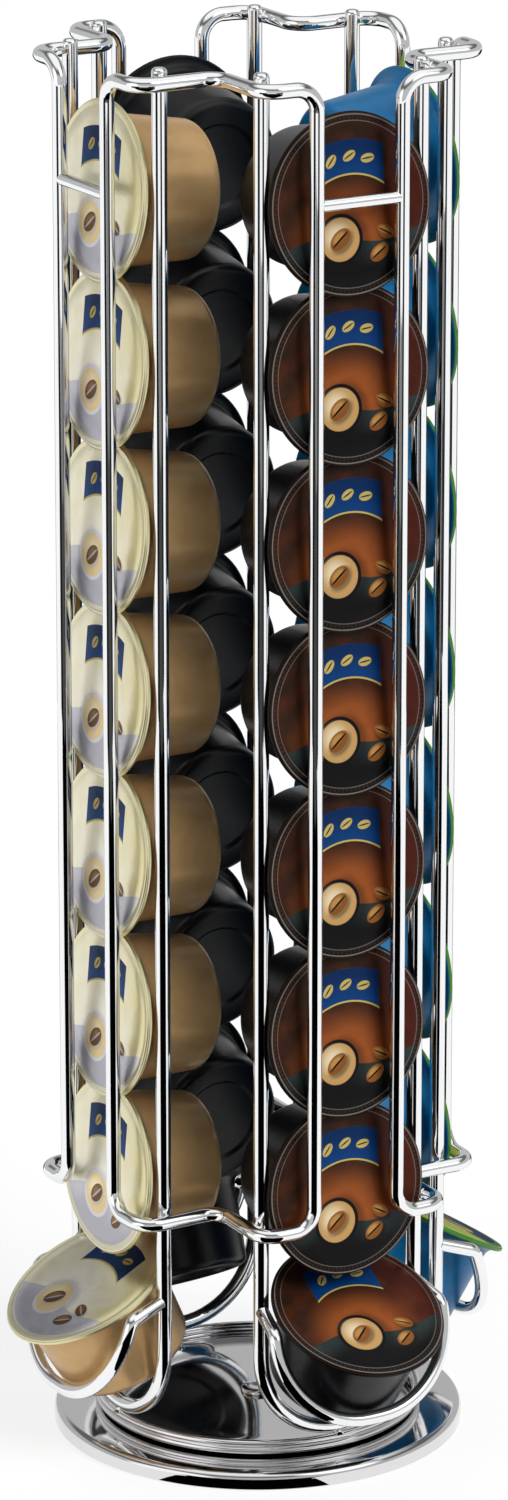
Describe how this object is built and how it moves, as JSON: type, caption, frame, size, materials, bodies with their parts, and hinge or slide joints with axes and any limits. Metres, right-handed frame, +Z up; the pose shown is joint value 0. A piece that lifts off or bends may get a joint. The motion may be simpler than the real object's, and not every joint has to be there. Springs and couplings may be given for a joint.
{
  "type": "coffee capsule dispenser",
  "caption": "Rotating chrome wire tower that stacks coffee capsules in four upright columns, with a tilted capsule ready to take at the foot of each.",
  "frame": {"origin": "centre of the base's underside, on the table", "axes": "+Z up along the turntable's axis; -Y is the column with the brown lids, at the front right of the picture, and -X the column with the cream lids"},
  "size_m": [0.1432, 0.1432, 0.3694],
  "materials": {
    "chrome_wire": "bright chrome plate",
    "dish_steel": "mirror polished",
    "base_steel": "mirror polished",
    "weight_steel": "zinc plated",
    "pivot_steel": "bright",
    "pad_rubber": "matt foam rubber",
    "washer_nylon": "moulded nylon",
    "cup_black": "satin moulded plastic",
    "cup_gold": "metallic satin plastic",
    "cup_blue": "satin moulded plastic",
    "lid_brown": "printed film",
    "lid_cream": "printed film",
    "lid_green": "printed film"
  },
  "bodies": {
    "base": {"base_cover": "base_steel", "base_weight_plate": "weight_steel", "base_non_slip_pad": "pad_rubber", "turntable_glide_washer": "washer_nylon", "turntable_pivot": "pivot_steel"},
    "tower": {"turntable_dish": "dish_steel", "column_posts_front": "chrome_wire", "outlet_cradle_front": "chrome_wire", "crossbar_front": "chrome_wire", "column_posts_left": "chrome_wire", "outlet_cradle_left": "chrome_wire", "crossbar_left": "chrome_wire", "column_posts_back": "chrome_wire", "outlet_cradle_back": "chrome_wire", "crossbar_back": "chrome_wire", "column_posts_right": "chrome_wire", "outlet_cradle_right": "chrome_wire", "crossbar_right": "chrome_wire", "retaining_frame_front_left": "chrome_wire", "retaining_frame_front_right": "chrome_wire", "retaining_frame_back_right": "chrome_wire", "retaining_frame_back_left": "chrome_wire"},
    "stack_front": {"stacked_capsules_front": "cup_black", "stacked_lids_front": "lid_brown"},
    "outlet_front": {"outlet_capsule_front": "cup_black", "outlet_lid_front": "lid_brown"},
    "stack_left": {"stacked_capsules_left": "cup_gold", "stacked_lids_left": "lid_cream"},
    "outlet_left": {"outlet_capsule_left": "cup_gold", "outlet_lid_left": "lid_cream"},
    "stack_back": {"stacked_capsules_back": "cup_black", "stacked_lids_back": "lid_brown"},
    "outlet_back": {"outlet_capsule_back": "cup_black", "outlet_lid_back": "lid_brown"},
    "stack_right": {"stacked_capsules_right": "cup_blue", "stacked_lids_right": "lid_green"},
    "outlet_right": {"outlet_capsule_right": "cup_blue", "outlet_lid_right": "lid_green"}
  },
  "joints": [
    {"name": "turntable_spin", "type": "hinge", "parent": "base", "child": "tower", "pos_m": [0, 0, 0.0053], "axis": [0, 0, 1], "continuous": true},
    {"name": "stack_lift_front", "type": "slide", "parent": "tower", "child": "stack_front", "axis": [0, 0, 1], "range_m": [0, 0.013]},
    {"name": "capsule_tip_front", "type": "hinge", "parent": "tower", "child": "outlet_front", "pos_m": [0, -0.05974, 0.01976], "axis": [1, 0, 0], "range_deg": [0, 24]},
    {"name": "stack_lift_left", "type": "slide", "parent": "tower", "child": "stack_left", "axis": [0, 0, 1], "range_m": [0, 0.013]},
    {"name": "capsule_tip_left", "type": "hinge", "parent": "tower", "child": "outlet_left", "pos_m": [-0.05974, 0, 0.01976], "axis": [0, -1, 0], "range_deg": [0, 24]},
    {"name": "stack_lift_back", "type": "slide", "parent": "tower", "child": "stack_back", "axis": [0, 0, 1], "range_m": [0, 0.013]},
    {"name": "capsule_tip_back", "type": "hinge", "parent": "tower", "child": "outlet_back", "pos_m": [0, 0.05974, 0.01976], "axis": [-1, 0, 0], "range_deg": [0, 24]},
    {"name": "stack_lift_right", "type": "slide", "parent": "tower", "child": "stack_right", "axis": [0, 0, 1], "range_m": [0, 0.013]},
    {"name": "capsule_tip_right", "type": "hinge", "parent": "tower", "child": "outlet_right", "pos_m": [0.05974, 0, 0.01976], "axis": [0, 1, 0], "range_deg": [0, 24]}
  ],
  "couplings": [
    {"joint": "capsule_tip_front", "follows": "stack_lift_front", "rad_per_m": 32.208},
    {"joint": "capsule_tip_left", "follows": "stack_lift_left", "rad_per_m": 32.208},
    {"joint": "capsule_tip_back", "follows": "stack_lift_back", "rad_per_m": 32.208},
    {"joint": "capsule_tip_right", "follows": "stack_lift_right", "rad_per_m": 32.208}
  ]
}
